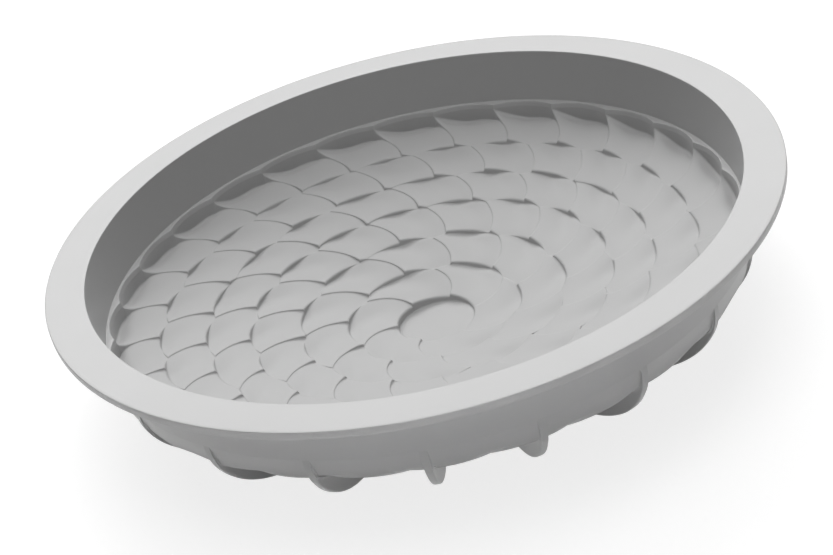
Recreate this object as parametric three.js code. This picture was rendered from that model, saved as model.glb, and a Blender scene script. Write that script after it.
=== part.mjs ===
// Round silicone cake mould whose cavity floor is a shallow dome of overlapping scales.
// The one-piece moulding is divided along its own edges into solids that sit against each other:
// the flat rim, the side wall, the scalloped ledge, six rings of scales round a centre scale, and the
// foot fins.
// Millimetres, +Z up. The origin is on the axis, in the plane that the feet stand on.
// Heights inside the mould are measured as depths below the top of the rim.

import * as THREE from 'three';

const GAP = 0.3;                  // clearance between solids that meet along shaped faces

// Cavity
const CAVITY_DEPTH = 39.9;        // top of the rim to the lowest point of the floor
const MOUTH_RADIUS = 90;          // cavity at the top of the rim
const WALL_DEPTH = 16.4;          // top of the rim to the ledge round the scales
const WALL_DRAFT = 3;             // degrees, narrower towards the floor
const LEDGE_WIDTH = 1.0;          // flat left outside the tips of the outer scales

// Rim and outside
const RIM_WIDTH = 11;
const RIM_THICKNESS = 2.1;
const WALL_TOP_THICKNESS = 2.8;   // side wall just below the rim
const SKIRT_THICKNESS = 2.0;      // skirt outside the foot of the wall, at its upper edge
const SKIRT_LAP = 0.5;            // the skirt starts this far above the ledge
const SKIRT_DROP = 6.2;           // lowest edge of the skirt below the ledge
const SKIRT_DRAFT = 13;           // degrees, narrower downwards
const LOBE_DROP = 1.1;            // lobes of the skirt's edge below the straight parts between them
const LOBE_PLACE = 0.55;          // middle of a lobe, in pitches of the outer scales past the cusp beside it

// Floor: a dome that the scales lie on
const FLOOR_EDGE_DROP = 3.2;      // dome below the ledge, at the foot of the wall
const FLOOR_BULGE = 1.5;          // dome below a straight cone, half way out
const FLOOR_THICKNESS = 3.7;      // dome to the smooth underside
const CENTRE_RADIUS = 10.9;
const CENTRE_SINK = 0.5;          // deepest edge of the centre scale below the top of the dome
const CENTRE_TILT = 0.6;          // axis of the centre scale above its deepest edge
const CENTRE_LEAN = 140;          // degrees, direction of that edge

// Scales, listed from the wall inwards. Exposed lengths are stretched together to fill the floor.
const SCALE_RINGS = [
  { name: 'a', count: 28, exposed: 12.3, firstEdge: 11.1 },
  { name: 'b', count: 25, exposed: 12.4, firstEdge: -5.8 },
  { name: 'c', count: 19, exposed: 11.8, firstEdge: 10.7 },
  { name: 'd', count: 17, exposed: 13.5, firstEdge: 12.5 },
  { name: 'e', count: 11, exposed: 13.4, firstEdge: 37.9 },
  { name: 'f', count: 6, exposed: 13.8, firstEdge: 60.9 },
];
const TIP_PLACE = 0.85;           // tip of a scale, in pitches past its free edge
const CUSP_PLACE = TIP_PLACE - 0.5;
const OUTLINE_POWER = 2 / 3;      // below 1 the shoulders of a scale are squarer than an ellipse
const LEAN_POWER = 1.8;           // how late along the side the free edge leans over towards the cusp
const SIDE_STEP = 0.3;            // step from a scale down to its neighbour's free edge, half way along
const ROOT_SIDE_STEP = 1.0;       // the same at the root of a scale
const ROOT_STEP_POWER = 4;        // how soon along the side that step falls off
const OUTER_SIDE_STEP = 3.9;      // the same at the cusps of the outer ring, which reach up to the ledge
const OUTER_STEP_POWER = 8;       // how late along the side that step grows
const LAP_LEVEL = 0.4;            // free edge below the dome, as a share of the step
const LAP_POWER = 2;              // how late across a scale it rises to lap over its neighbour
const OUTER_LAP_POWER = 4;        // the same in the outer ring
const DIP = 1.55;                 // spoon-shaped hollow at the tip of a scale
const OUTER_DIP = 1.0;            // the same in the outer ring
const DIP_PLACE = 0.49;           // middle of the hollow, in pitches across from the free edge
const DIP_WIDTH = 0.28;           // reach of the hollow to either side, in pitches
const DIP_POWER = 1.5;            // how late along the scale the hollow grows

// Foot fins
const FIN_COUNT = 20;
const FIRST_FIN = 11;             // degrees
const FIN_THICKNESS = 1.9;
const FIN_PROUD = 1.0;            // fin outside the upper edge of the skirt
const FIN_CURVE_EASE = 0.504;     // handle length of the curve down to the foot, as a share of its spans
const FIN_END_RADIUS = 37.4;      // inner end, under the floor
const FIN_TAIL_RUN = 8;           // inner end to the flat of the foot, along the radius
const FOOT_LENGTH = 12.3;
const FOOT_CLEARANCE = 0.2;       // lowest part of the floor above the surface it stands on

// Facet sizes
const ROUND_STEPS = 112;
const COLUMN_LENGTH = 3.4;        // along a ring of scales
const SCALE_ROWS = 3;             // along a scale
const FIN_SEAT_STEP = 7;
const CURVE_STEPS = 5;
const CENTRE_STEPS = 36;

// Silicone
const SILICONE_COLOUR = 0xb4b4b4;
const SILICONE_ROUGHNESS = 0.4;

const rad = THREE.MathUtils.degToRad;
const lerp = THREE.MathUtils.lerp;
const clamp = THREE.MathUtils.clamp;

const rimRadius = MOUTH_RADIUS + RIM_WIDTH;
const wallRadius = (depth) => MOUTH_RADIUS - depth * Math.tan(rad(WALL_DRAFT));
const footRadius = wallRadius(WALL_DEPTH);
const skirtRadius = footRadius + SKIRT_THICKNESS;
const skirtTop = WALL_DEPTH - SKIRT_LAP;
const skirtBottom = WALL_DEPTH + SKIRT_DROP;
const skirtFace = (depth) => skirtRadius - (depth - skirtTop) * Math.tan(rad(SKIRT_DRAFT));
const mouldHeight = underDepth(CENTRE_RADIUS) + FOOT_CLEARANCE;

const mould = new THREE.Group();

function addPiece(name, geometry) {
  const material = new THREE.MeshStandardMaterial({
    color: SILICONE_COLOUR,
    roughness: SILICONE_ROUGHNESS,
    metalness: 0,
  });
  const mesh = new THREE.Mesh(geometry, material);
  mesh.name = name;
  mould.add(mesh);
  return mesh;
}

// A solid of revolution from a closed profile of [radius, depth] pairs, listed anticlockwise.
function turned(profile) {
  const points = profile.map(([radius, depth]) => new THREE.Vector2(radius, mouldHeight - depth));
  return new THREE.LatheGeometry(points, ROUND_STEPS).rotateX(Math.PI / 2);
}

// Collects corners given by radius, angle and depth, and faces that run anticlockwise from outside.
class FacetedSolid {
  corners = [];
  triangles = [];

  corner(radius, angle, depth) {
    this.corners.push(radius * Math.cos(angle), radius * Math.sin(angle), mouldHeight - depth);
    return this.corners.length / 3 - 1;
  }

  face(first, ...rest) {
    for (let i = 0; i + 1 < rest.length; i += 1) {
      this.triangles.push(first, rest[i], rest[i + 1]);
    }
  }

  geometry() {
    const geometry = new THREE.BufferGeometry();
    geometry.setAttribute('position', new THREE.Float32BufferAttribute(this.corners, 3));
    geometry.setIndex(this.triangles);
    geometry.computeVertexNormals();
    return geometry;
  }
}

// Depth of the dome that the scales lie on, and of the smooth underside below it.
function domeDepth(radius) {
  const share = radius / footRadius;
  const axisDepth = CAVITY_DEPTH - CENTRE_SINK;
  const edgeDepth = WALL_DEPTH + FLOOR_EDGE_DROP;
  return lerp(axisDepth, edgeDepth, share) + 4 * FLOOR_BULGE * share * (1 - share);
}

function underDepth(radius) {
  return domeDepth(radius) + FLOOR_THICKNESS;
}

// Each ring runs from its own tips to the tips of the next ring inwards.
function layOutRings() {
  const outerTip = footRadius - LEDGE_WIDTH;
  const exposedSum = SCALE_RINGS.reduce((sum, ring) => sum + ring.exposed, 0);
  const stretch = (outerTip - CENTRE_RADIUS) / exposedSum;
  let tipRadius = outerTip;
  return SCALE_RINGS.map((ring, index) => {
    const rootRadius = tipRadius - ring.exposed * stretch;
    const laidOut = {
      ...ring,
      tipRadius,
      rootRadius,
      pitch: 2 * Math.PI / ring.count,
      start: rad(ring.firstEdge),
      cuspStep: index === 0 ? OUTER_SIDE_STEP : SIDE_STEP,
      lapPower: index === 0 ? OUTER_LAP_POWER : LAP_POWER,
      dip: index === 0 ? OUTER_DIP : DIP,
    };
    tipRadius = rootRadius;
    return laidOut;
  });
}

// Outline of a scale: radial share reached at a place given in pitches past its free edge.
function outlineShare(place) {
  const across = (TIP_PLACE - place) / TIP_PLACE;
  return Math.pow(1 - across * across, OUTLINE_POWER / 2);
}

function outlineRadius(ring, place) {
  return lerp(ring.rootRadius, ring.tipRadius, outlineShare(place));
}

// Radius of the scalloped edge that the tips of a ring make together.
function tipEdge(ring, angle) {
  const turns = (angle - ring.start) / ring.pitch - CUSP_PLACE;
  return outlineRadius(ring, CUSP_PLACE + turns - Math.floor(turns));
}

// How far the free edge of a scale has leant over, in pitches, at a share of the way to the cusp.
function edgeLean(rise) {
  return CUSP_PLACE * rise ** LEAN_POWER;
}

// Share of its full depth that a hollow, or the lobe below it, has at a place to one side of its middle.
function hollowShare(place, middle) {
  return Math.exp(-(((place - middle) / DIP_WIDTH) ** 2));
}

// Depth of a scale: it laps up over the free edge of its neighbour and dips like a spoon at its tip.
function scaleDepth(ring, place, radius) {
  const along = (radius - ring.rootRadius) / (ring.tipRadius - ring.rootRadius);
  const rise = clamp(along / outlineShare(CUSP_PLACE), 0, 1);
  const across = place - edgeLean(rise);
  const step = SIDE_STEP
    + (ROOT_SIDE_STEP - SIDE_STEP) * (1 - rise) ** ROOT_STEP_POWER
    + (ring.cuspStep - SIDE_STEP) * rise ** OUTER_STEP_POWER;
  const lapped = lerp(domeDepth(ring.rootRadius), domeDepth(ring.tipRadius), along)
    + step * (LAP_LEVEL - Math.abs(across) ** ring.lapPower);
  return lapped + ring.dip * clamp(along, 0, 1) ** DIP_POWER * hollowShare(across, DIP_PLACE);
}

// One ring of scales. Columns lean with the free edges; neighbours meet at a small upright step.
function scaleRing(ring, innerEdge) {
  const solid = new FacetedSolid();
  const columns = Math.ceil(ring.pitch * ring.tipRadius / COLUMN_LENGTH);
  const top = [];
  const under = [];

  function place(scale, column, row) {
    const rise = Math.sin(Math.PI / 2 * row / SCALE_ROWS);
    const lean = edgeLean(rise);
    const across = column / columns;
    const angle = ring.start + (scale + across + lean) * ring.pitch;
    const root = innerEdge(ring.start + (scale + across) * ring.pitch);
    const tip = outlineRadius(ring, CUSP_PLACE + across);
    const radius = lerp(root, tip, rise);
    return { radius, angle, depth: scaleDepth(ring, across + lean, radius) };
  }

  for (let scale = 0; scale < ring.count; scale += 1) {
    const grid = [];
    for (let column = 0; column <= columns; column += 1) {
      const line = [];
      for (let row = 0; row <= SCALE_ROWS; row += 1) {
        const { radius, angle, depth } = place(scale, column, row);
        line.push(solid.corner(radius, angle, depth));
      }
      grid.push(line);
      if (column < columns) {
        const ends = [place(scale, column, 0), place(scale, column, SCALE_ROWS)];
        under.push(ends.map((end) => solid.corner(end.radius, end.angle, underDepth(end.radius))));
      }
    }
    top.push(grid);
  }

  for (let scale = 0; scale < ring.count; scale += 1) {
    const grid = top[scale];
    const next = top[(scale + 1) % ring.count][0];
    const step = grid[columns];
    for (let row = 0; row < SCALE_ROWS; row += 1) {
      for (let column = 0; column < columns; column += 1) {
        const [near, far] = [grid[column], grid[column + 1]];
        solid.face(near[row], near[row + 1], far[row + 1], far[row]);
      }
      solid.face(next[row + 1], next[row], step[row], step[row + 1]);
    }
    for (let column = 0; column < columns; column += 1) {
      const here = under[scale * columns + column];
      const there = under[(scale * columns + column + 1) % under.length];
      const [near, far] = [grid[column], grid[column + 1]];
      const last = column === columns - 1;
      const innerSide = last ? [near[0], far[0], next[0], there[0]] : [near[0], far[0], there[0]];
      const outerSide = last ? [next[SCALE_ROWS], far[SCALE_ROWS]] : [far[SCALE_ROWS]];
      solid.face(here[0], ...innerSide);
      solid.face(here[1], there[1], ...outerSide, near[SCALE_ROWS]);
      solid.face(here[0], there[0], there[1], here[1]);
    }
  }
  return solid.geometry();
}

// Ledge round the outer scales with the skirt outside it. Its lower edge has a lobe for each pocket.
function scallopedLedge(ring) {
  const solid = new FacetedSolid();
  const sections = [];
  const columns = Math.ceil(ROUND_STEPS / ring.count);
  for (let step = 0; step < ring.count * columns; step += 1) {
    const place = CUSP_PLACE + (step % columns) / columns;
    const angle = ring.start + (Math.floor(step / columns) + place) * ring.pitch;
    const edge = outlineRadius(ring, place);
    const lowest = skirtBottom - LOBE_DROP * (1 - hollowShare(place - CUSP_PLACE, LOBE_PLACE));
    const section = [
      [edge + GAP, WALL_DEPTH],
      [edge + GAP, underDepth(edge + GAP)],
      [skirtFace(lowest), lowest],
      [skirtRadius, skirtTop],
      [wallRadius(skirtTop), skirtTop],
      [footRadius, WALL_DEPTH],
    ];
    sections.push(section.map(([radius, depth]) => solid.corner(radius, angle, depth)));
  }
  sections.forEach((here, index) => {
    const there = sections[(index + 1) % sections.length];
    here.forEach((corner, side) => {
      const following = (side + 1) % here.length;
      solid.face(corner, there[side], there[following], here[following]);
    });
  });
  return solid.geometry();
}

// Round scale at the middle of the floor: a leaning flat top over a level underside.
function centreScale() {
  const solid = new FacetedSolid();
  const underside = underDepth(CENTRE_RADIUS);
  const middle = solid.corner(0, 0, CAVITY_DEPTH - CENTRE_TILT);
  const below = solid.corner(0, 0, underside);
  const edge = [];
  for (let step = 0; step < CENTRE_STEPS; step += 1) {
    const angle = 2 * Math.PI * step / CENTRE_STEPS;
    const depth = CAVITY_DEPTH - CENTRE_TILT * (1 - Math.cos(angle - rad(CENTRE_LEAN)));
    const upper = solid.corner(CENTRE_RADIUS, angle, depth);
    edge.push([upper, solid.corner(CENTRE_RADIUS, angle, underside)]);
  }
  edge.forEach(([upper, lower], index) => {
    const [nextUpper, nextLower] = edge[(index + 1) % edge.length];
    solid.face(middle, upper, nextUpper);
    solid.face(upper, lower, nextLower, nextUpper);
    solid.face(below, nextLower, lower);
  });
  return solid.geometry();
}

// Upright plate that grows out of the skirt, curves under the floor and ends in a flat foot.
function footFin() {
  const reach = skirtRadius + FIN_PROUD;
  const start = skirtTop + GAP;
  const footInner = FIN_END_RADIUS + FIN_TAIL_RUN;
  const footOuter = footInner + FOOT_LENGTH;
  const drop = mouldHeight - start;
  const outline = new THREE.Shape();
  outline.moveTo(skirtRadius + GAP, -start);
  outline.lineTo(reach, -start);
  outline.bezierCurveTo(
    reach, -start - FIN_CURVE_EASE * drop,
    lerp(footOuter, reach, FIN_CURVE_EASE), -mouldHeight,
    footOuter, -mouldHeight,
  );
  outline.lineTo(footInner, -mouldHeight);
  outline.quadraticCurveTo(FIN_END_RADIUS, -mouldHeight, FIN_END_RADIUS, -underDepth(FIN_END_RADIUS) - GAP);
  const seatEnd = footRadius - LEDGE_WIDTH + GAP;
  const seatSteps = Math.ceil((seatEnd - FIN_END_RADIUS) / FIN_SEAT_STEP);
  for (let step = 1; step <= seatSteps; step += 1) {
    const radius = lerp(FIN_END_RADIUS, seatEnd, step / seatSteps);
    outline.lineTo(radius, -underDepth(radius) - GAP);
  }
  outline.lineTo(skirtFace(skirtBottom) + GAP, -skirtBottom - GAP);
  outline.closePath();
  const options = { depth: FIN_THICKNESS, bevelEnabled: false, curveSegments: CURVE_STEPS };
  return new THREE.ExtrudeGeometry(outline, options)
    .rotateX(Math.PI / 2)
    .translate(0, FIN_THICKNESS / 2, mouldHeight);
}

addPiece('rim_flange', turned([
  [wallRadius(RIM_THICKNESS), RIM_THICKNESS],
  [rimRadius, RIM_THICKNESS],
  [rimRadius, 0],
  [MOUTH_RADIUS, 0],
  [wallRadius(RIM_THICKNESS), RIM_THICKNESS],
]));

addPiece('side_wall', turned([
  [wallRadius(skirtTop), skirtTop],
  [skirtRadius, skirtTop],
  [MOUTH_RADIUS + WALL_TOP_THICKNESS, RIM_THICKNESS],
  [wallRadius(RIM_THICKNESS), RIM_THICKNESS],
  [wallRadius(skirtTop), skirtTop],
]));

const rings = layOutRings();
addPiece('scale_ledge', scallopedLedge(rings[0]));

rings.forEach((ring, index) => {
  const inner = rings[index + 1];
  const innerEdge = inner ? (angle) => tipEdge(inner, angle) + GAP : () => CENTRE_RADIUS + GAP;
  addPiece(`scale_ring_${ring.name}`, scaleRing(ring, innerEdge));
});

addPiece('scale_centre', centreScale());

for (let fin = 0; fin < FIN_COUNT; fin += 1) {
  const mesh = addPiece(`foot_fin_${String(fin + 1).padStart(2, '0')}`, footFin());
  mesh.rotation.z = rad(FIRST_FIN) + fin * 2 * Math.PI / FIN_COUNT;
}

export default mould;
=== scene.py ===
import math

import bpy
import numpy as np
from mathutils import Matrix, Vector


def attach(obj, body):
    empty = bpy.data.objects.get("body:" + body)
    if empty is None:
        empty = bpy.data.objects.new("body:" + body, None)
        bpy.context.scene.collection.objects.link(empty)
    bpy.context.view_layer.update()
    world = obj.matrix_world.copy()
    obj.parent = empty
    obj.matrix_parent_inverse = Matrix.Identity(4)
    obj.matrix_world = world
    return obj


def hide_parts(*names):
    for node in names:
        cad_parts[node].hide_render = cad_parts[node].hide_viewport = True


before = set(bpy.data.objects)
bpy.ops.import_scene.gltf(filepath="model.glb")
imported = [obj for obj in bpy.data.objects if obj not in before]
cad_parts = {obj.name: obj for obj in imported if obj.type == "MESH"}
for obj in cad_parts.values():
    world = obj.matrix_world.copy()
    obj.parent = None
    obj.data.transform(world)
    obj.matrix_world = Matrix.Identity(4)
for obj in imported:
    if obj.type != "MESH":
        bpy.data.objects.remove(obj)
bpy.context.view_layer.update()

# Metres in a millimetre
MM = 0.001

# Sizes of the mould in millimetres and drafts in degrees, as in the part's source.
# Depths run down from the top of the rim.
CAVITY_DEPTH = 39.9
MOUTH_RADIUS = 90
WALL_DEPTH = 16.4
WALL_DRAFT = 3
LEDGE_WIDTH = 1.0
RIM_WIDTH = 11
RIM_THICKNESS = 2.1
WALL_TOP_THICKNESS = 2.8
SKIRT_THICKNESS = 2.0
SKIRT_LAP = 0.5
SKIRT_DROP = 6.2
SKIRT_DRAFT = 13
LOBE_DROP = 1.1
LOBE_PLACE = 0.55
FLOOR_EDGE_DROP = 3.2
FLOOR_BULGE = 1.5
FLOOR_THICKNESS = 3.7
CENTRE_RADIUS = 10.9
CENTRE_SINK = 0.5
CENTRE_TILT = 0.6
CENTRE_LEAN = math.radians(140)

# Rings from the wall inwards: name, number of scales, exposed length, first side edge in degrees.
RINGS = [
    ("a", 28, 12.3, 11.1),
    ("b", 25, 12.4, -5.8),
    ("c", 19, 11.8, 10.7),
    ("d", 17, 13.5, 12.5),
    ("e", 11, 13.4, 37.9),
    ("f", 6, 13.8, 60.9),
]

# Form of a scale. Places across it are in pitches past its side edge.
TIP_PLACE = 0.85
CUSP_PLACE = TIP_PLACE - 0.5
OUTLINE_POWER = 2 / 3
LEAN_POWER = 1.8
SIDE_STEP = 0.3
ROOT_SIDE_STEP = 1.0
ROOT_STEP_POWER = 4
OUTER_SIDE_STEP = 3.9
OUTER_STEP_POWER = 8
LAP_LEVEL = 0.4
LAP_POWER = 2
OUTER_LAP_POWER = 4
DIP = 1.55
OUTER_DIP = 1.0
DIP_PLACE = 0.49
DIP_WIDTH = 0.28
DIP_POWER = 1.5

# Foot fins
FIN_COUNT = 20
FIRST_FIN = 11
FIN_THICKNESS = 1.9
FIN_PROUD = 1.0
FIN_CURVE_EASE = 0.504
FIN_END_RADIUS = 37.4
FIN_TAIL_RUN = 8
FOOT_LENGTH = 12.3
FOOT_CLEARANCE = 0.2

# Roundings that the solids leave out, in millimetres
EDGE_ROUND = 0.55           # width along the free edges of the scales
CORNER_ROUND = 0.45         # width in the corners below them
ROUND_SHARE = 0.45          # most of a step that one rounding takes up
LEDGE_CHAMFER_DROP = 1.5
LEDGE_CHAMFER_RUN = 0.3
LEDGE_EASE = ((0.02, 0.05), (0.12, 0.0))    # run past the chamfer and drop below the ledge
RIM_ROUND = 0.25
WALL_FILLET = 0.8           # between the wall and the underside of the rim
SKIRT_ROUND = 0.5           # lower edge of the skirt
SKIRT_ROUND_END = 80        # degrees, where that round runs into its underside
SKIRT_FLAT = 1.2            # underside of that edge
SKIRT_FLAT_DROP = 0.15
FIN_FILLET = 0.8
FIN_FILLET_SHARE = 0.4      # most of a fin's height that its fillet takes up
FIN_ROUND = 0.4
FIN_ROUND_RISE = 2          # height at which a fin's rounding is full
FIN_SINK = 0.15             # root of a fin inside the moulding
LAP = 0.03                  # scales reach this far into the next piece outwards, so that no slit shows

# Spacing of the meshes, in millimetres, in shares or in counts
ROUND_STEPS = 360
CENTRE_STEPS = 96
ARC_STEPS = 4
FILLET_STEPS = 5
SCALE_SPACING = 1.0
LEDGE_SPACING = 0.6
EDGE_STEPS = np.array([0, 0.03, 0.1, 0.22, 0.4, 0.65, 1.0])
CENTRE_LOOPS = np.array([1.2, 2.5, 4.5, 6.5, 8.5])
RIM_LOOP = 1.0
RIM_WALL_LOOP = 1.2
WALL_LOOPS = (4, 8, 12.5)
OUTER_WALL_LOOPS = (0.1, 0.5)
CHAMFER_LOOPS = (0, 0.05, 0.5, 0.9)
CHAMFER_FOOT_LOOP = 0.08
SKIRT_TOP_LOOP = 1.0
LEDGE_SEAT_LOOP = 0.3
CUSP_MARGIN = 0.02
UNDER_QUARTERS = 4
FIN_CURVE_STEPS = 48
FIN_FOOT_STEPS = 8
FIN_TAIL_STEPS = 12
FIN_SEAT_STEPS = 40
FIN_START_SHARE = 0.1
FIN_START_STEPS = 16
FIN_STEPS = 56
FIN_ROWS = np.array([0, 0.01, 0.03, 0.06, 0.1, 0.16, 0.25, 0.4, 0.6, 0.75, 0.86, 0.93, 0.97, 0.99, 1])

# Limits of the meshes
SHARP_ANGLE = math.radians(48)
NUDGE = 1e-9                # keeps a section on its own side of a cusp
TINY = 1e-6                 # keeps divisors above zero
SEATED = 0.001              # a fin less tall than this, in millimetres, lies on its seat

# Silicone: the rim, wall, ledge and fins are smooth, the scales matte
SILICONE_GREY = 0.43
SMOOTH_ROUGHNESS = 0.35
MATTE_ROUGHNESS = 0.6
ROUGHNESS_SPREAD = 0.03

# Studio, in metres. The strength of the world is 1 where it shows and SKY_LIGHT where it lights.
FLOOR_HALF = 8
FLOOR_DROP = 0.0002
LAMP_TARGET = (0, 0, 0.02)
SKY_LIGHT = 0.09

# Camera solved from the rim's circles in the photograph, in pixels, degrees and rim radii
PHOTO_WIDTH = 833
FOCAL_PIXELS = 1789.18
ELEVATION = math.radians(30.434)
ROLL = math.radians(-14.306)
CAMERA_SHIFT = Vector((-0.02463842, 0.20082088, -4.78718984))
SENSOR_WIDTH = 36           # millimetres


def mix(a, b, share):
    return a + (b - a) * share


def wall_radius(depth):
    return MOUTH_RADIUS - depth * math.tan(math.radians(WALL_DRAFT))


foot_radius = wall_radius(WALL_DEPTH)
skirt_radius = foot_radius + SKIRT_THICKNESS
skirt_top = WALL_DEPTH - SKIRT_LAP
skirt_bottom = WALL_DEPTH + SKIRT_DROP


def skirt_face(depth):
    return skirt_radius - (depth - skirt_top) * math.tan(math.radians(SKIRT_DRAFT))


def dome_depth(radius):
    """Depth of the dome that the scales lie on."""
    share = radius / foot_radius
    straight = mix(CAVITY_DEPTH - CENTRE_SINK, WALL_DEPTH + FLOOR_EDGE_DROP, share)
    return straight + 4 * FLOOR_BULGE * share * (1 - share)


def under_depth(radius):
    return dome_depth(radius) + FLOOR_THICKNESS


height = under_depth(CENTRE_RADIUS) + FOOT_CLEARANCE


def polar(radius, angle, depth):
    return np.stack([radius * np.cos(angle), radius * np.sin(angle), height - depth], axis=-1)


def outline_share(place):
    """Radial share that a scale's outline reaches at a place across it."""
    across = (TIP_PLACE - place) / TIP_PLACE
    return (1 - across ** 2) ** (OUTLINE_POWER / 2)


def side_lean(rise):
    """How far a scale's side edge has leant over, in pitches, at a share of the way to the cusp."""
    return CUSP_PLACE * rise ** LEAN_POWER


def hollow_share(place, middle):
    """Share of its full depth that a hollow, or the lobe below it, has beside its middle."""
    return np.exp(-((place - middle) / DIP_WIDTH) ** 2)


class Ring:
    """One ring of scales, from its own tips to the tips of the next ring inwards."""

    def __init__(self, name, count, first_edge, root, tip, index):
        self.name = name
        self.count = count
        self.pitch = 2 * math.pi / count
        self.start = math.radians(first_edge)
        self.root = root
        self.tip = tip
        self.cusp_step = OUTER_SIDE_STEP if index == 0 else SIDE_STEP
        self.lap_power = OUTER_LAP_POWER if index == 0 else LAP_POWER
        self.dip = OUTER_DIP if index == 0 else DIP

    def outline(self, place):
        return mix(self.root, self.tip, outline_share(place))

    def turns(self, angle):
        return (angle - self.start) / self.pitch

    def tip_place(self, angle):
        return CUSP_PLACE + np.mod(self.turns(angle) - CUSP_PLACE, 1)

    def tip_edge(self, angle):
        return self.outline(self.tip_place(angle))

    def tip_depth(self, angle):
        place = self.tip_place(angle)
        return self.depth(place, self.outline(place))

    def root_depth(self, angle, radius):
        return self.depth(np.mod(self.turns(angle), 1), radius)

    def depth(self, place, radius):
        """Depth of a scale before rounding: it laps up over its neighbour and dips at its tip."""
        along = (radius - self.root) / (self.tip - self.root)
        rise = np.clip(along / outline_share(CUSP_PLACE), 0, 1)
        across = place - side_lean(rise)
        step = (SIDE_STEP + (ROOT_SIDE_STEP - SIDE_STEP) * (1 - rise) ** ROOT_STEP_POWER
                + (self.cusp_step - SIDE_STEP) * rise ** OUTER_STEP_POWER)
        dip = self.dip * np.clip(along, 0, 1) ** DIP_POWER * hollow_share(across, DIP_PLACE)
        lap = step * (LAP_LEVEL - np.abs(across) ** self.lap_power)
        return mix(dome_depth(self.root), dome_depth(self.tip), along) + lap + dip


def lay_out_rings():
    outer_tip = foot_radius - LEDGE_WIDTH
    stretch = (outer_tip - CENTRE_RADIUS) / sum(exposed for _, _, exposed, _ in RINGS)
    tip = outer_tip
    rings = []
    for index, (name, count, exposed, first_edge) in enumerate(RINGS):
        root = tip - exposed * stretch
        rings.append(Ring(name, count, first_edge, root, tip, index))
        tip = root
    return rings


def centre_depth(angle, radius):
    lean = np.cos(angle - CENTRE_LEAN) * radius / CENTRE_RADIUS
    return CAVITY_DEPTH - CENTRE_TILT * (1 - lean)


def silicone_material(name, roughness):
    material = bpy.data.materials.new(name)
    material.use_nodes = True
    nodes = material.node_tree.nodes
    links = material.node_tree.links
    shader = nodes["Principled BSDF"]
    shader.inputs["Base Color"].default_value = (SILICONE_GREY, SILICONE_GREY, SILICONE_GREY, 1)
    shader.inputs["Specular IOR Level"].default_value = 0.5
    place = nodes.new("ShaderNodeTexCoord")
    cloud = nodes.new("ShaderNodeTexNoise")
    cloud.inputs["Scale"].default_value = 60
    cloud.inputs["Detail"].default_value = 3
    links.new(place.outputs["Object"], cloud.inputs["Vector"])
    gloss = nodes.new("ShaderNodeMapRange")
    gloss.inputs["To Min"].default_value = roughness - ROUGHNESS_SPREAD
    gloss.inputs["To Max"].default_value = roughness + ROUGHNESS_SPREAD
    links.new(cloud.outputs["Fac"], gloss.inputs["Value"])
    links.new(gloss.outputs["Result"], shader.inputs["Roughness"])
    grain = nodes.new("ShaderNodeTexNoise")
    grain.inputs["Scale"].default_value = 1400
    grain.inputs["Detail"].default_value = 2
    links.new(place.outputs["Object"], grain.inputs["Vector"])
    bump = nodes.new("ShaderNodeBump")
    bump.inputs["Strength"].default_value = 0.08
    bump.inputs["Distance"].default_value = 0.0001
    links.new(grain.outputs["Fac"], bump.inputs["Height"])
    links.new(bump.outputs["Normal"], shader.inputs["Normal"])
    return material


smooth_silicone = silicone_material("silicone", SMOOTH_ROUGHNESS)
matte_silicone = silicone_material("silicone_matte", MATTE_ROUGHNESS)


def add_piece(node, points, faces, material):
    """Makes the moulded surface that stands for one CAD node. Points are in millimetres."""
    mesh = bpy.data.meshes.new(node + "_moulded")
    mesh.from_pydata((np.asarray(points) * MM).tolist(), [], faces)
    mesh.validate()
    mesh.shade_smooth()
    mesh.set_sharp_from_angle(angle=SHARP_ANGLE)
    mesh.materials.append(material)
    piece = bpy.data.objects.new(node + "_moulded", mesh)
    bpy.context.scene.collection.objects.link(piece)
    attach(piece, "root")
    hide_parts(node)


def eased(distance, gap):
    """Depth change beside an edge whose other side lies deeper by gap: a quarter round each side."""
    width = np.where(gap > 0, EDGE_ROUND, CORNER_ROUND)
    near = np.clip(1 - distance / width, 0, 1)
    return np.sign(gap) * np.minimum(width, ROUND_SHARE * np.abs(gap)) * (1 - np.sqrt(1 - near ** 2))


def edge_distance(points, line):
    """Distance in plan from points to a polyline, and the place along the polyline."""
    start = line[:-1]
    run = line[1:] - start
    away = points[:, None] - start[None]
    share = np.clip((away * run).sum(2) / (run * run).sum(1), 0, 1)
    miss = away - share[..., None] * run
    distance = np.sqrt((miss * miss).sum(2))
    nearest = distance.argmin(1)
    row = np.arange(len(points))
    return distance[row, nearest], nearest + share[row, nearest]


def rounded(depth, plan, edges):
    """Depths of one scale with its edges rounded. Each edge is a line in plan and the gap beyond it."""
    points = plan.reshape(-1, 2)
    change = np.zeros(len(points))
    for line, gap in edges:
        distance, place = edge_distance(points, line)
        change += eased(distance, np.interp(place, np.arange(len(gap)), gap))
    return depth + change.reshape(depth.shape)


def stations(length, spacing):
    """Shares of a length that crowd towards both ends."""
    count = max(2, math.ceil((length - 2 * EDGE_STEPS[-1]) / spacing))
    middle = np.linspace(EDGE_STEPS[-1], length - EDGE_STEPS[-1], count + 1)[1:-1]
    return np.concatenate([EDGE_STEPS, middle, length - EDGE_STEPS[::-1]]) / length


def cusp_columns(ring, inner, scale, across):
    """Places across one scale, with a column moved to each cusp of the inner ring that it meets."""
    across = across.copy()
    # A whole turn and a little more is tried, so that no cusp is missed.
    first = math.floor(inner.turns(ring.start + scale * ring.pitch)) - 1
    for step in range(first, first + inner.count + 3):
        cusp_angle = inner.start + (step + CUSP_PLACE) * inner.pitch
        share = (cusp_angle - ring.start) / ring.pitch - scale
        if CUSP_MARGIN < share < 1 - CUSP_MARGIN:
            across[1 + np.abs(across[1:-1] - share).argmin()] = share
    across.sort()
    return across


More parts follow.
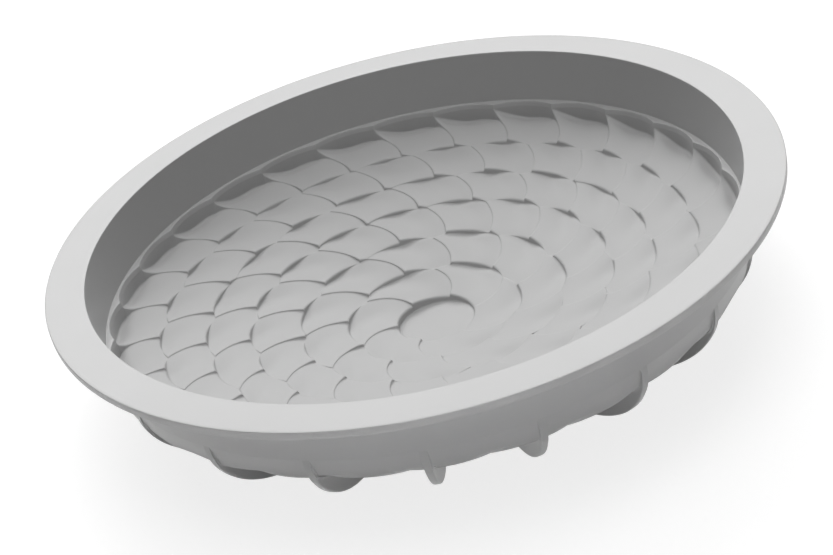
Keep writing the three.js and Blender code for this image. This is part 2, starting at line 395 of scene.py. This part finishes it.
def one_scale(rings, index, scale, across, along):
    """Points of one scale by column: the rows of its rounded top, then those of its underside."""
    ring = rings[index]
    inner = rings[index + 1] if index + 1 < len(rings) else None
    outer = rings[index - 1] if index else None
    if inner:
        across = cusp_columns(ring, inner, scale, across)
    place, lean = np.meshgrid(across, side_lean(along), indexing="ij")
    angle = ring.start + (scale + place + lean) * ring.pitch
    foot_angle = ring.start + (scale + across) * ring.pitch
    root = inner.tip_edge(foot_angle) if inner else np.full(len(across), CENTRE_RADIUS)
    tip = ring.outline(CUSP_PLACE + across)
    radius = root[:, None] + (tip - root)[:, None] * along[None]
    depth = ring.depth(place + lean, radius)
    plan = np.stack([radius * np.cos(angle), radius * np.sin(angle)], axis=-1)
    below = inner.tip_depth(foot_angle) if inner else centre_depth(foot_angle, CENTRE_RADIUS)
    above = outer.root_depth(angle[:, -1], tip) if outer else np.full(len(across), WALL_DEPTH)
    depth = rounded(depth, plan, [
        (plan[:, 0], below - depth[:, 0]),
        (plan[:, -1], above - depth[:, -1]),
        (plan[0], ring.depth(1 + lean[0], radius[0]) - depth[0]),
        (plan[-1], ring.depth(lean[-1], radius[-1]) - depth[-1]),
    ])
    top = polar(radius, angle, depth)
    top[:, -1] = polar(tip + LAP, angle[:, -1], depth[:, -1])
    rows = len(along)
    under_rows = [rows * quarter // UNDER_QUARTERS for quarter in range(UNDER_QUARTERS)] + [rows - 1]
    under = polar(radius, angle, under_depth(radius))[:, under_rows]
    return np.concatenate([top, under], axis=1).reshape(-1, 3)


def ring_faces(scales, columns, rows):
    """Faces of a ring whose points run by scale, by column and by row, with the top rows first."""
    stride = rows + UNDER_QUARTERS + 1

    def column_points(scale, column):
        start = ((scale % scales) * columns + column) * stride
        return range(start, start + stride)

    faces = []
    for scale in range(scales):
        for column in range(columns - 1):
            near = column_points(scale, column)
            far = column_points(scale, column + 1)
            for row in range(rows - 1):
                faces.append((near[row], near[row + 1], far[row + 1], far[row]))
            for row in range(rows, stride - 1):
                faces.append((near[row], far[row], far[row + 1], near[row + 1]))
            faces.append((near[0], far[0], far[rows], near[rows]))
            faces.append((near[rows - 1], near[-1], far[-1], far[rows - 1]))
        step = column_points(scale, columns - 1)
        lapped = column_points(scale + 1, 0)
        for row in range(rows - 1):
            faces.append((step[row], step[row + 1], lapped[row + 1], lapped[row]))
    return faces


def scale_ring(rings, index):
    ring = rings[index]
    across = stations(ring.pitch * (ring.root + ring.tip) / 2, SCALE_SPACING)
    along = stations(ring.tip - ring.root, SCALE_SPACING)
    points = [one_scale(rings, index, scale, across, along) for scale in range(ring.count)]
    return np.concatenate(points), ring_faces(ring.count, len(across), len(along))


def loft(sections):
    """Closed ring of closed sections: points and quads."""
    sections = np.asarray(sections)
    count, size = sections.shape[:2]
    faces = []
    for section in range(count):
        here = section * size
        there = (section + 1) % count * size
        for point in range(size):
            after = (point + 1) % size
            faces.append((here + point, there + point, there + after, here + after))
    return sections.reshape(-1, 3), faces


def arc(centre, size, start, end, steps=ARC_STEPS):
    """Round stretch of a section: [radius, depth] pairs. 0 degrees points outwards and 90 down."""
    turns = np.radians(np.linspace(start, end, steps + 1))
    return [(centre[0] + size * math.cos(turn), centre[1] + size * math.sin(turn)) for turn in turns]


def turned(profile):
    angles = np.arange(ROUND_STEPS) * 2 * math.pi / ROUND_STEPS
    profile = np.asarray(profile)
    return loft([polar(profile[:, 0], angle, profile[:, 1]) for angle in angles])


def rim_flange():
    rim = MOUTH_RADIUS + RIM_WIDTH
    profile = [(wall_radius(RIM_THICKNESS), RIM_THICKNESS)]
    profile += [(MOUTH_RADIUS + WALL_TOP_THICKNESS, RIM_THICKNESS)]
    profile += [(rim - 2 * RIM_LOOP, RIM_THICKNESS)]
    profile += arc((rim - RIM_ROUND, RIM_THICKNESS - RIM_ROUND), RIM_ROUND, 90, 0)
    profile += arc((rim - RIM_ROUND, RIM_ROUND), RIM_ROUND, 0, -90)
    profile += [(rim - RIM_LOOP, 0), (MOUTH_RADIUS + RIM_LOOP, 0)]
    profile += arc((MOUTH_RADIUS + RIM_ROUND, RIM_ROUND), RIM_ROUND, -90, -180 - WALL_DRAFT)
    profile += [(wall_radius(RIM_WALL_LOOP), RIM_WALL_LOOP)]
    return turned(profile)


def side_wall():
    top = MOUTH_RADIUS + WALL_TOP_THICKNESS
    fillet_centre = (top + WALL_FILLET, RIM_THICKNESS + WALL_FILLET)
    profile = [(wall_radius(skirt_top), skirt_top), (skirt_radius, skirt_top)]
    for share in OUTER_WALL_LOOPS:
        profile.append((mix(skirt_radius, top, share), mix(skirt_top, RIM_THICKNESS, share)))
    profile += arc(fillet_centre, WALL_FILLET, 180, 270, FILLET_STEPS)
    profile += [(wall_radius(RIM_THICKNESS), RIM_THICKNESS)]
    profile += [(wall_radius(depth), depth) for depth in WALL_LOOPS]
    return turned(profile)


def lobe_edge(place):
    """Depth of the skirt's lower edge, which has a lobe for each pocket of the outer ring."""
    return skirt_bottom - LOBE_DROP * (1 - float(hollow_share(place - CUSP_PLACE, LOBE_PLACE)))


def ledge_section(ring, angle):
    """Closed section through the ledge and the skirt at one angle."""
    place = float(ring.tip_place(angle))
    edge = float(ring.outline(place))
    lowest = lobe_edge(place)
    half_way = mix(skirt_top, lowest, 0.5)
    drop = LEDGE_CHAMFER_DROP
    run = LEDGE_CHAMFER_RUN
    fillet = CORNER_ROUND / 2
    seat = edge + LEDGE_SEAT_LOOP
    round_centre = (skirt_face(lowest) - SKIRT_ROUND, lowest - SKIRT_ROUND)
    section = [(edge + run * share, WALL_DEPTH + drop * (1 - share)) for share in CHAMFER_LOOPS]
    section += [(edge + run + past, WALL_DEPTH + down) for past, down in LEDGE_EASE]
    section += arc((foot_radius - fillet, WALL_DEPTH - fillet), fillet, 90, 0)
    section += [(wall_radius(skirt_top), skirt_top), (skirt_radius, skirt_top)]
    section += [(skirt_face(skirt_top + SKIRT_TOP_LOOP), skirt_top + SKIRT_TOP_LOOP)]
    section += [(skirt_face(half_way), half_way)]
    section += arc(round_centre, SKIRT_ROUND, -SKIRT_DRAFT, SKIRT_ROUND_END, FILLET_STEPS)
    section += [(skirt_face(lowest) - SKIRT_FLAT, lowest + SKIRT_FLAT_DROP)]
    section += [(seat, under_depth(seat)), (edge, under_depth(edge))]
    section += [(edge, WALL_DEPTH + drop + CHAMFER_FOOT_LOOP)]
    return section


def scale_ledge(ring):
    places = stations(ring.pitch * ring.tip, LEDGE_SPACING)[:-1]
    sections = []
    for scale in range(ring.count):
        for place in places:
            angle = ring.start + (scale + CUSP_PLACE + place) * ring.pitch
            section = np.asarray(ledge_section(ring, angle + NUDGE))
            sections.append(polar(section[:, 0], angle, section[:, 1]))
    points, faces = loft(sections)
    return points, [face[::-1] for face in faces]


def scale_centre(rim):
    """Round scale inside the innermost ring."""
    angles = np.arange(CENTRE_STEPS) * 2 * math.pi / CENTRE_STEPS
    level = np.ones(CENTRE_STEPS)
    underside = under_depth(CENTRE_RADIUS)
    gap = rim.root_depth(angles, CENTRE_RADIUS) - centre_depth(angles, CENTRE_RADIUS)
    loops = []
    for inset in np.concatenate([EDGE_STEPS[:-1], CENTRE_LOOPS])[::-1]:
        radius = CENTRE_RADIUS - inset
        reach = radius if inset else radius + LAP
        depth = centre_depth(angles, radius) + eased(inset * level, gap)
        loops.append(polar(reach * level, angles, depth))
    for radius in (CENTRE_RADIUS, CENTRE_RADIUS / 2):
        loops.append(polar(radius * level, angles, underside * level))
    middle = len(loops) * CENTRE_STEPS
    last = middle - CENTRE_STEPS
    faces = []
    for point in range(CENTRE_STEPS):
        after = (point + 1) % CENTRE_STEPS
        faces.append((middle, point, after))
        for here in range(0, last, CENTRE_STEPS):
            there = here + CENTRE_STEPS
            faces.append((here + point, there + point, there + after, here + after))
        faces.append((middle + 1, last + after, last + point))
    ends = [[0, 0, height - CAVITY_DEPTH + CENTRE_TILT], [0, 0, height - underside]]
    return np.concatenate(loops + [ends]), faces


def bezier(corners, steps):
    """Points along the curve that a row of corners draws. It meets the first and the last of them."""
    shares = np.linspace(0, 1, steps + 1)[:, None]
    corners = [np.asarray(corner, float) for corner in corners]
    while len(corners) > 1:
        corners = [mix(a, b, shares) for a, b in zip(corners, corners[1:])]
    return corners[0]


def resample(line, shares):
    """Points at shares of the length of a line."""
    length = np.concatenate([[0], np.cumsum(np.hypot(*np.diff(line, axis=0).T))])
    length = length / length[-1]
    return np.stack([np.interp(shares, length, line[:, i]) for i in (0, 1)], axis=1)


def fin_outline():
    """Free edge of a fin from the top of the skirt to its inner end, in [radius, depth] pairs."""
    reach = skirt_radius + FIN_PROUD
    foot_inner = FIN_END_RADIUS + FIN_TAIL_RUN
    foot_outer = foot_inner + FOOT_LENGTH
    curve = [
        (skirt_radius, skirt_top),
        (reach, mix(skirt_top, height, FIN_CURVE_EASE)),
        (mix(foot_outer, reach, FIN_CURVE_EASE), height),
        (foot_outer, height),
    ]
    foot = [(foot_outer, height), (foot_inner, height)]
    tail = [(foot_inner, height), (FIN_END_RADIUS, height), (FIN_END_RADIUS, under_depth(FIN_END_RADIUS))]
    return np.concatenate([
        bezier(curve, FIN_CURVE_STEPS)[:-1],
        bezier(foot, FIN_FOOT_STEPS)[:-1],
        bezier(tail, FIN_TAIL_STEPS),
    ])


def fin_seat(ring, angle):
    """Line along which a fin grows out of the skirt and the floor, in [radius, depth] pairs."""
    place = float(ring.tip_place(angle))
    lowest = lobe_edge(place)
    radii = np.linspace(float(ring.outline(place)), FIN_END_RADIUS, FIN_SEAT_STEPS)
    skirt = [(skirt_radius, skirt_top), (skirt_face(lowest), lowest)]
    return np.concatenate([skirt, np.stack([radii, under_depth(radii)], axis=1)])


def fin_half_thickness(tall, rise):
    """Half the thickness of a fin at a rise from its seat, where the whole fin is so tall."""
    fillet = np.maximum(np.minimum(FIN_FILLET, FIN_FILLET_SHARE * tall), TINY)
    flare = np.clip(1 - rise / fillet, 0, 1)
    turn_in = np.clip(1 - (tall - rise) / FIN_ROUND, 0, 1) * np.clip(tall / FIN_ROUND_RISE, 0, 1)
    half = FIN_THICKNESS / 2 + fillet * (1 - np.sqrt(1 - flare ** 2))
    return half - FIN_ROUND * (1 - np.sqrt(1 - turn_in ** 2))


def foot_fin(ring, angle):
    start = np.linspace(0, FIN_START_SHARE, FIN_START_STEPS)[:-1]
    shares = np.concatenate([start, np.linspace(FIN_START_SHARE, 1, FIN_STEPS)])
    seat = resample(fin_seat(ring, angle), shares)
    reach_out = resample(fin_outline(), shares) - seat
    tall = np.hypot(*reach_out.T)[:, None]
    away = reach_out / np.maximum(tall, TINY)
    away[tall[:, 0] < SEATED] = (1, 0)
    rise = tall * FIN_ROWS[None]
    half = fin_half_thickness(tall, rise)
    rise = np.concatenate([np.full_like(tall, -FIN_SINK), rise], axis=1)
    half = np.concatenate([half[:, :1], half], axis=1)[..., None]
    line = seat[:, None] + away[:, None] * rise[..., None]
    out = np.array([math.cos(angle), math.sin(angle), 0])
    side = np.array([-math.sin(angle), math.cos(angle), 0])
    spine = line[..., :1] * out + (height - line[..., 1:]) * np.array([0, 0, 1])
    sections = np.concatenate([spine - half * side, (spine + half * side)[:, ::-1]], axis=1)
    count, size = sections.shape[:2]
    faces = []
    for here in range(0, (count - 1) * size, size):
        there = here + size
        for point in range(size):
            after = (point + 1) % size
            faces.append((here + point, here + after, there + after, there + point))
    faces.append(tuple(range(size))[::-1])
    faces.append(tuple(range((count - 1) * size, count * size)))
    return sections.reshape(-1, 3), faces


rings = lay_out_rings()
add_piece("rim_flange", *rim_flange(), smooth_silicone)
add_piece("side_wall", *side_wall(), smooth_silicone)
add_piece("scale_ledge", *scale_ledge(rings[0]), smooth_silicone)
for index, ring in enumerate(rings):
    add_piece("scale_ring_" + ring.name, *scale_ring(rings, index), matte_silicone)
add_piece("scale_centre", *scale_centre(rings[-1]), matte_silicone)
for fin in range(FIN_COUNT):
    fin_angle = math.radians(FIRST_FIN) + fin * 2 * math.pi / FIN_COUNT
    add_piece("foot_fin_%02d" % (fin + 1), *foot_fin(rings[0], fin_angle), smooth_silicone)


def shown_rays(tree):
    """Socket that is 1 for the rays that show the white background and 0 for those that light."""
    ray = tree.nodes.new("ShaderNodeLightPath")
    shown = ray.outputs["Is Camera Ray"]
    for kind in ("Is Glossy Ray", "Is Transmission Ray"):
        either = tree.nodes.new("ShaderNodeMath")
        either.operation = "MAXIMUM"
        tree.links.new(shown, either.inputs[0])
        tree.links.new(ray.outputs[kind], either.inputs[1])
        shown = either.outputs[0]
    return shown


def floor_material():
    """White ground that keeps the object's shadow where it shows, and plain paint where it bounces light."""
    material = bpy.data.materials.new("floor")
    material.use_nodes = True
    tree = material.node_tree
    tree.nodes.clear()
    paint = tree.nodes.new("ShaderNodeBsdfDiffuse")
    paint.inputs["Color"].default_value = (0.9, 0.9, 0.9, 1)
    shade = tree.nodes.new("ShaderNodeBsdfDiffuse")
    shade.inputs["Color"].default_value = (0.3, 0.3, 0.3, 1)
    glow = tree.nodes.new("ShaderNodeEmission")
    glow.inputs["Strength"].default_value = 0.8
    both = tree.nodes.new("ShaderNodeAddShader")
    tree.links.new(shade.outputs[0], both.inputs[0])
    tree.links.new(glow.outputs[0], both.inputs[1])
    choose = tree.nodes.new("ShaderNodeMixShader")
    tree.links.new(shown_rays(tree), choose.inputs[0])
    tree.links.new(paint.outputs[0], choose.inputs[1])
    tree.links.new(both.outputs[0], choose.inputs[2])
    output = tree.nodes.new("ShaderNodeOutputMaterial")
    tree.links.new(choose.outputs[0], output.inputs["Surface"])
    return material


def studio_floor():
    signs = ((-1, -1), (1, -1), (1, 1), (-1, 1))
    corners = [(x * FLOOR_HALF, y * FLOOR_HALF, -FLOOR_DROP) for x, y in signs]
    mesh = bpy.data.meshes.new("floor")
    mesh.from_pydata(corners, [], [(0, 1, 2, 3)])
    mesh.materials.append(floor_material())
    floor = bpy.data.objects.new("floor", mesh)
    bpy.context.scene.collection.objects.link(floor)
    return floor


floor = studio_floor()


def studio_world():
    world = bpy.data.worlds.new("studio")
    world.use_nodes = True
    tree = world.node_tree
    sky = tree.nodes["Background"]
    sky.inputs["Color"].default_value = (1, 1, 1, 1)
    strength = tree.nodes.new("ShaderNodeMapRange")
    strength.inputs["To Min"].default_value = SKY_LIGHT
    strength.inputs["To Max"].default_value = 1.0
    tree.links.new(shown_rays(tree), strength.inputs["Value"])
    tree.links.new(strength.outputs["Result"], sky.inputs["Strength"])
    return world


bpy.context.scene.world = studio_world()


def area_light(name, place, width, depth, radiance, target=LAMP_TARGET):
    """Rectangular lamp, in metres, that faces its target."""
    data = bpy.data.lights.new(name, "AREA")
    data.shape = "RECTANGLE"
    data.size = width
    data.size_y = depth
    data.energy = radiance * math.pi * width * depth
    lamp = bpy.data.objects.new(name, data)
    lamp.visible_camera = False
    lamp.location = place
    lamp.rotation_euler = (Vector(target) - Vector(place)).to_track_quat("-Z", "Y").to_euler()
    bpy.context.scene.collection.objects.link(lamp)
    return lamp


# Lamps: name, place, width, depth and radiance, and a target of its own for the last
area_light("overhead", (0.1, -0.05, 1.5), 1.4, 0.9, 2.95)
area_light("high_back", (0.0, 0.9, 1.3), 1.0, 0.5, 2.4)
area_light("back_sheen", (0.0, 1.28, 0.96), 1.8, 0.7, 3.8)
area_light("left_fill", (-1.2, 0.2, 1.2), 0.8, 0.8, 0.2)
area_light("front_fill", (0.0, -1.0, 1.5), 2.0, 0.9, 0.2)
floor_wash = area_light("floor_wash", (0.0, -0.38, 0.3), 1.4, 0.44, 1.7, (0.0, -0.38, 0.0))
floor_wash.data.spread = math.radians(10)


def photo_camera():
    """Camera at the photograph's place, which is measured from the middle of the rim's top."""
    back = Vector((0, -math.cos(ELEVATION), math.sin(ELEVATION)))
    level = Vector((1, 0, 0))
    upright = back.cross(level)
    right = math.cos(ROLL) * level + math.sin(ROLL) * upright
    up = math.cos(ROLL) * upright - math.sin(ROLL) * level
    turn = Matrix((right, up, back)).transposed()
    rim_radius = (MOUTH_RADIUS + RIM_WIDTH) * MM
    place = Vector((0, 0, height * MM)) - (turn @ CAMERA_SHIFT) * rim_radius
    data = bpy.data.cameras.new("camera")
    data.sensor_fit = "HORIZONTAL"
    data.sensor_width = SENSOR_WIDTH
    data.lens = FOCAL_PIXELS / PHOTO_WIDTH * SENSOR_WIDTH
    data.clip_end = 50
    camera = bpy.data.objects.new("camera", data)
    camera.matrix_world = Matrix.Translation(place) @ turn.to_4x4()
    bpy.context.scene.collection.objects.link(camera)
    return camera


bpy.context.scene.camera = photo_camera()
bpy.context.scene.view_settings.view_transform = "Standard"
